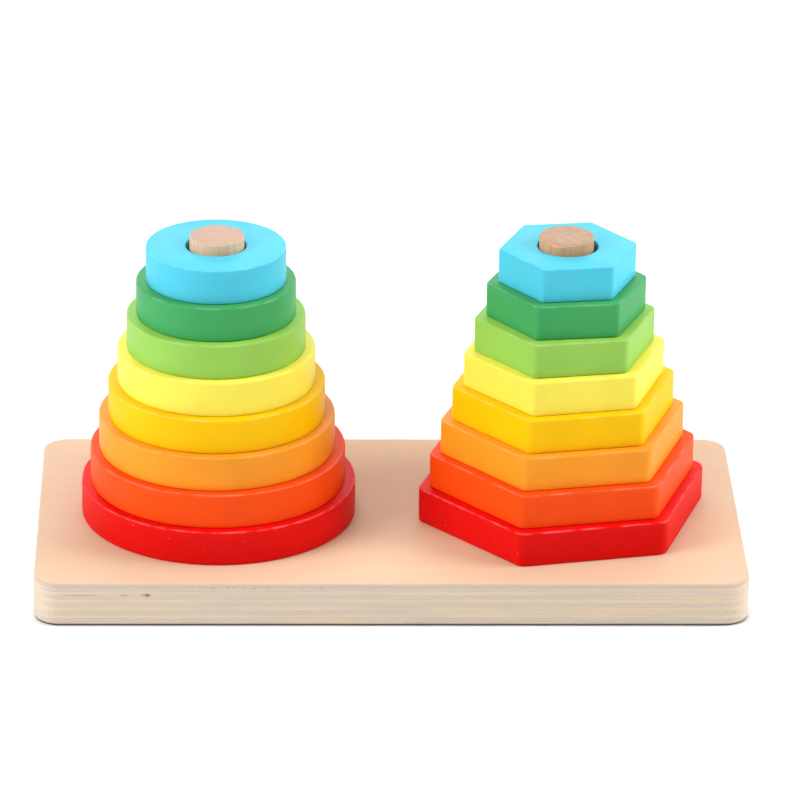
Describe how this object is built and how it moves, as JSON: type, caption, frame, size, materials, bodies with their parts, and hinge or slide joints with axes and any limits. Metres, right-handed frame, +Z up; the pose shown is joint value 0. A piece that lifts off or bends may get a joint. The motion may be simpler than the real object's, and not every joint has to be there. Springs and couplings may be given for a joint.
{
  "type": "stacking ring toy",
  "caption": "Wooden stacking toy: a flat board with two upright pegs, one holding round rings and one holding hexagonal rings, each tower narrowing towards the top.",
  "frame": {"origin": "centre of the base board's underside", "axes": "+Z up along the pegs; +X along the board's long side, from the round tower to the hexagon tower; -Y is the front, the long side towards the viewer"},
  "size_m": [0.28, 0.14, 0.1362],
  "materials": {
    "birch_plywood": "bare plywood, sanded",
    "beech_dowel": "bare beech, sanded",
    "screw_steel": "zinc plated",
    "paint_red": "satin water-based paint on plywood",
    "paint_orange_red": "satin water-based paint on plywood",
    "paint_light_orange": "satin water-based paint on plywood",
    "paint_amber": "satin water-based paint on plywood",
    "paint_yellow": "satin water-based paint on plywood",
    "paint_light_green": "satin water-based paint on plywood",
    "paint_green": "satin water-based paint on plywood",
    "paint_sky_blue": "satin water-based paint on plywood"
  },
  "bodies": {
    "base": {"base_board": "birch_plywood", "round_tower_peg": "beech_dowel", "hexagon_tower_peg": "beech_dowel", "peg_screws": "screw_steel"},
    "round_ring_1": {"round_ring_1_red": "paint_red"},
    "round_ring_2": {"round_ring_2_orange_red": "paint_orange_red"},
    "round_ring_3": {"round_ring_3_light_orange": "paint_light_orange"},
    "round_ring_4": {"round_ring_4_amber": "paint_amber"},
    "round_ring_5": {"round_ring_5_yellow": "paint_yellow"},
    "round_ring_6": {"round_ring_6_light_green": "paint_light_green"},
    "round_ring_7": {"round_ring_7_green": "paint_green"},
    "round_ring_8": {"round_ring_8_sky_blue": "paint_sky_blue"},
    "hexagon_ring_1": {"hexagon_ring_1_red": "paint_red"},
    "hexagon_ring_2": {"hexagon_ring_2_orange_red": "paint_orange_red"},
    "hexagon_ring_3": {"hexagon_ring_3_light_orange": "paint_light_orange"},
    "hexagon_ring_4": {"hexagon_ring_4_amber": "paint_amber"},
    "hexagon_ring_5": {"hexagon_ring_5_yellow": "paint_yellow"},
    "hexagon_ring_6": {"hexagon_ring_6_light_green": "paint_light_green"},
    "hexagon_ring_7": {"hexagon_ring_7_green": "paint_green"},
    "hexagon_ring_8": {"hexagon_ring_8_sky_blue": "paint_sky_blue"}
  },
  "joints": [
    {"name": "round_ring_1_lift", "type": "slide", "parent": "base", "child": "round_ring_1", "axis": [0, 0, 1], "range_m": [0, 0.123]},
    {"name": "round_ring_2_lift", "type": "slide", "parent": "round_ring_1", "child": "round_ring_2", "axis": [0, 0, 1], "range_m": [0, 0.1088]},
    {"name": "round_ring_3_lift", "type": "slide", "parent": "round_ring_2", "child": "round_ring_3", "axis": [0, 0, 1], "range_m": [0, 0.0946]},
    {"name": "round_ring_4_lift", "type": "slide", "parent": "round_ring_3", "child": "round_ring_4", "axis": [0, 0, 1], "range_m": [0, 0.0804]},
    {"name": "round_ring_5_lift", "type": "slide", "parent": "round_ring_4", "child": "round_ring_5", "axis": [0, 0, 1], "range_m": [0, 0.0662]},
    {"name": "round_ring_6_lift", "type": "slide", "parent": "round_ring_5", "child": "round_ring_6", "axis": [0, 0, 1], "range_m": [0, 0.052]},
    {"name": "round_ring_7_lift", "type": "slide", "parent": "round_ring_6", "child": "round_ring_7", "axis": [0, 0, 1], "range_m": [0, 0.0378]},
    {"name": "round_ring_8_lift", "type": "slide", "parent": "round_ring_7", "child": "round_ring_8", "axis": [0, 0, 1], "range_m": [0, 0.0236]},
    {"name": "hexagon_ring_1_lift", "type": "slide", "parent": "base", "child": "hexagon_ring_1", "axis": [0, 0, 1], "range_m": [0, 0.123]},
    {"name": "hexagon_ring_2_lift", "type": "slide", "parent": "hexagon_ring_1", "child": "hexagon_ring_2", "axis": [0, 0, 1], "range_m": [0, 0.1088]},
    {"name": "hexagon_ring_3_lift", "type": "slide", "parent": "hexagon_ring_2", "child": "hexagon_ring_3", "axis": [0, 0, 1], "range_m": [0, 0.0946]},
    {"name": "hexagon_ring_4_lift", "type": "slide", "parent": "hexagon_ring_3", "child": "hexagon_ring_4", "axis": [0, 0, 1], "range_m": [0, 0.0804]},
    {"name": "hexagon_ring_5_lift", "type": "slide", "parent": "hexagon_ring_4", "child": "hexagon_ring_5", "axis": [0, 0, 1], "range_m": [0, 0.0662]},
    {"name": "hexagon_ring_6_lift", "type": "slide", "parent": "hexagon_ring_5", "child": "hexagon_ring_6", "axis": [0, 0, 1], "range_m": [0, 0.052]},
    {"name": "hexagon_ring_7_lift", "type": "slide", "parent": "hexagon_ring_6", "child": "hexagon_ring_7", "axis": [0, 0, 1], "range_m": [0, 0.0378]},
    {"name": "hexagon_ring_8_lift", "type": "slide", "parent": "hexagon_ring_7", "child": "hexagon_ring_8", "axis": [0, 0, 1], "range_m": [0, 0.0236]}
  ]
}
